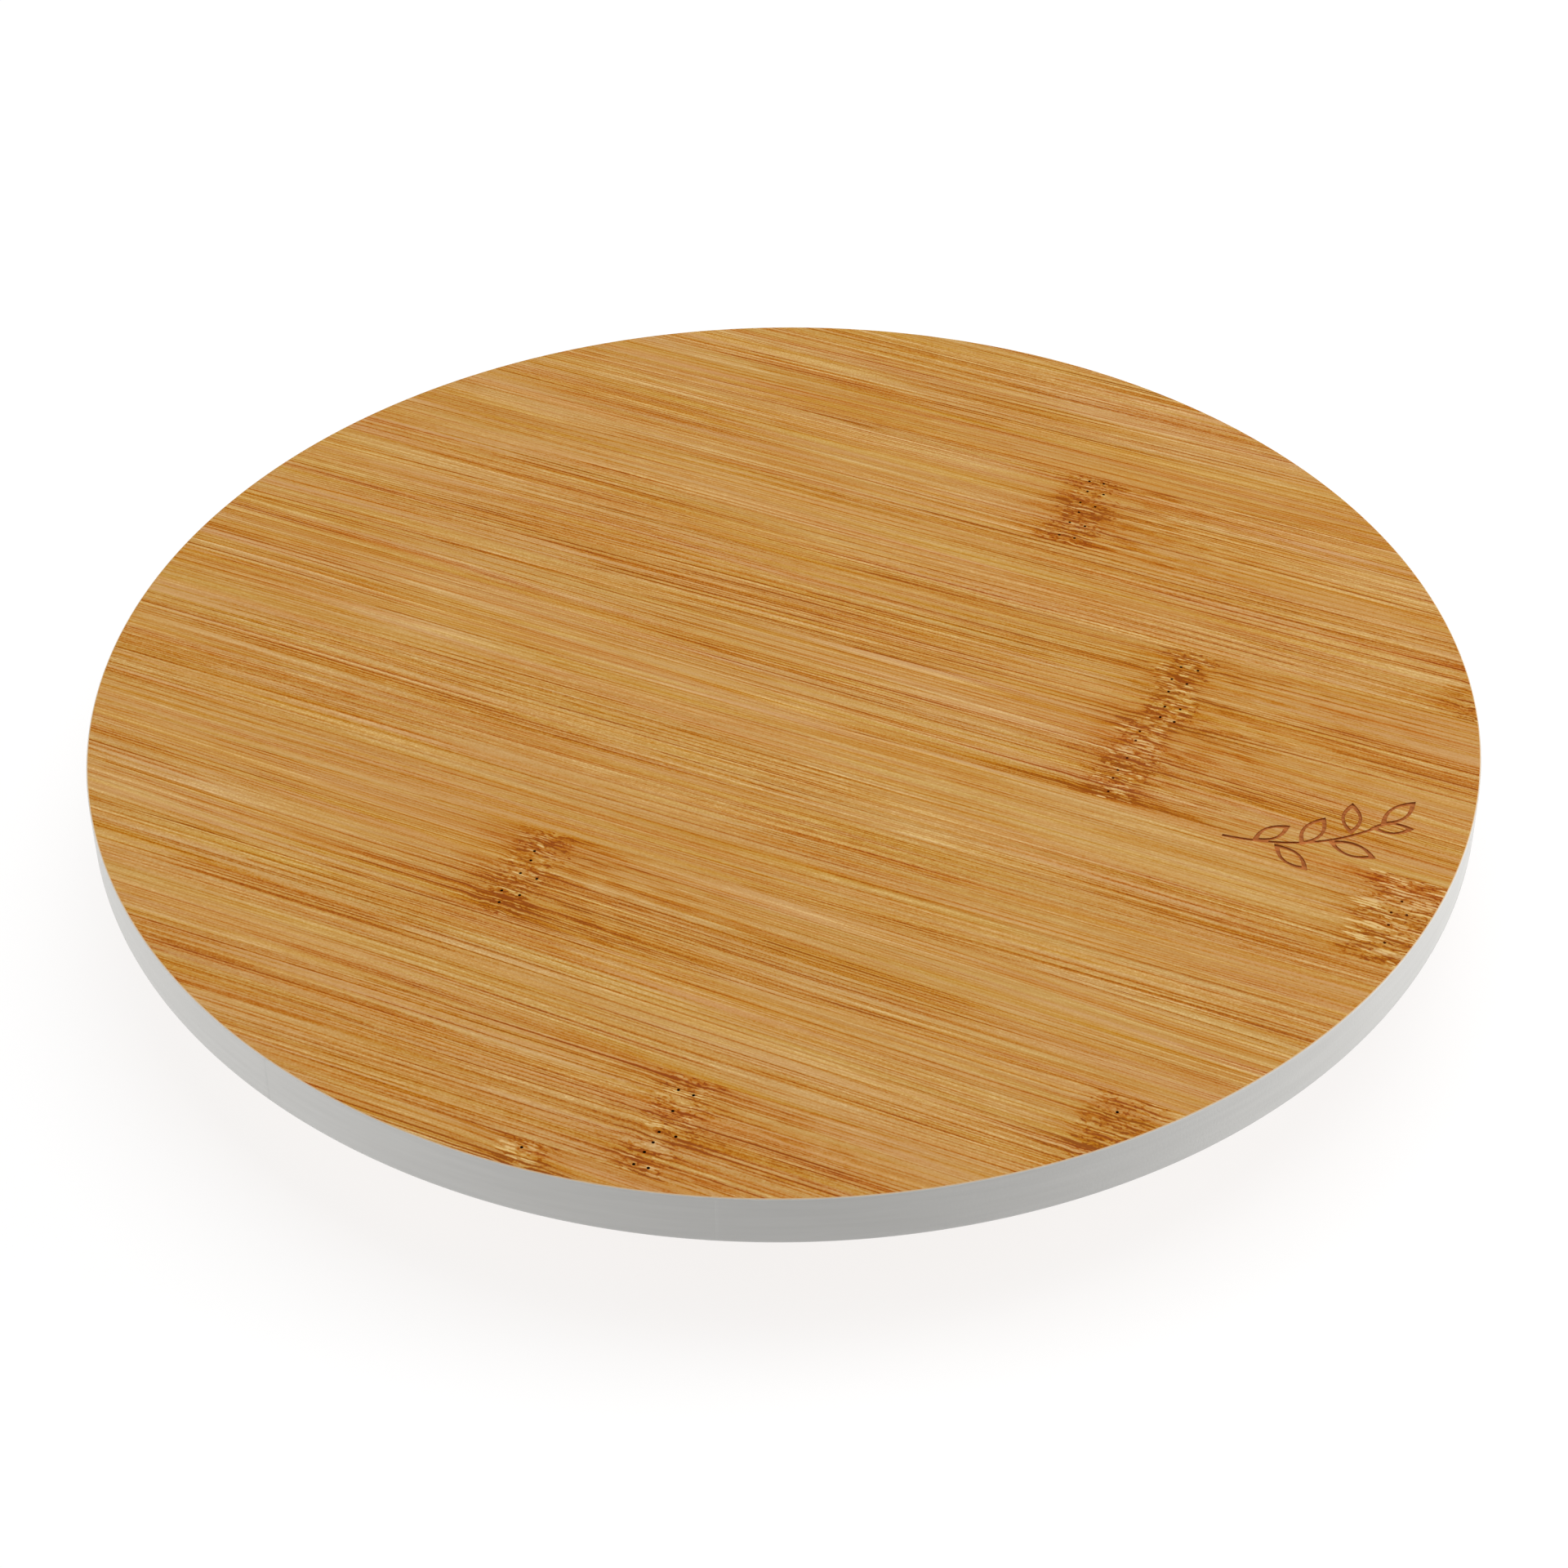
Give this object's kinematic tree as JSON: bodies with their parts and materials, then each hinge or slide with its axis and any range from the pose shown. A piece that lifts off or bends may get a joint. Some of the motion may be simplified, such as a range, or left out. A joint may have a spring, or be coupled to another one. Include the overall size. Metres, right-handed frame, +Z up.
{
  "type": "lazy susan turntable",
  "caption": "Low round turntable: a laminated bamboo serving board with a white painted rim, turning on a square steel ball bearing above a smaller footed base.",
  "frame": {"origin": "centre of the plane that the feet stand on, on the axis that the board turns about", "axes": "+Z up along the turning axis, +X along the grain of the board"},
  "size_m": [0.25, 0.25, 0.033],
  "materials": {
    "board_bamboo": "satin clear lacquer on the top, white paint round the rim",
    "base_bamboo": "satin clear lacquer",
    "zinc_plate": "bright zinc plate on pressed steel",
    "ball_steel": "polished",
    "screw_steel": "zinc plate",
    "foot_rubber": "matte moulded"
  },
  "bodies": {
    "base": {"base_strip_1": "base_bamboo", "base_strip_2": "base_bamboo", "base_strip_3": "base_bamboo", "base_strip_4": "base_bamboo", "base_strip_5": "base_bamboo", "base_strip_6": "base_bamboo", "base_strip_7": "base_bamboo", "bearing_lower_plate": "zinc_plate", "base_screw_1": "screw_steel", "base_screw_2": "screw_steel", "base_screw_3": "screw_steel", "base_screw_4": "screw_steel", "foot_1": "foot_rubber", "foot_2": "foot_rubber", "foot_3": "foot_rubber", "foot_4": "foot_rubber", "foot_washer_1": "screw_steel", "foot_washer_2": "screw_steel", "foot_washer_3": "screw_steel", "foot_washer_4": "screw_steel", "foot_screw_1": "screw_steel", "foot_screw_2": "screw_steel", "foot_screw_3": "screw_steel", "foot_screw_4": "screw_steel"},
    "ball_ring": {"bearing_balls": "ball_steel"},
    "turntable": {"board_strip_01": "board_bamboo", "board_strip_02": "board_bamboo", "board_strip_03": "board_bamboo", "board_strip_04": "board_bamboo", "board_strip_05": "board_bamboo", "board_strip_06": "board_bamboo", "board_strip_07": "board_bamboo", "board_strip_08": "board_bamboo", "board_strip_09": "board_bamboo", "board_strip_10": "board_bamboo", "board_strip_11": "board_bamboo", "board_strip_12": "board_bamboo", "bearing_upper_plate": "zinc_plate", "board_screw_1": "screw_steel", "board_screw_2": "screw_steel", "board_screw_3": "screw_steel", "board_screw_4": "screw_steel"}
  },
  "joints": [
    {"name": "turntable_spin", "type": "hinge", "parent": "base", "child": "turntable", "pos_m": [0, 0, 0.019], "axis": [0, 0, 1], "continuous": true},
    {"name": "ball_orbit", "type": "hinge", "parent": "base", "child": "ball_ring", "pos_m": [0, 0, 0.019], "axis": [0, 0, 1], "continuous": true}
  ],
  "couplings": [
    {"joint": "ball_orbit", "follows": "turntable_spin", "ratio": 0.5}
  ]
}
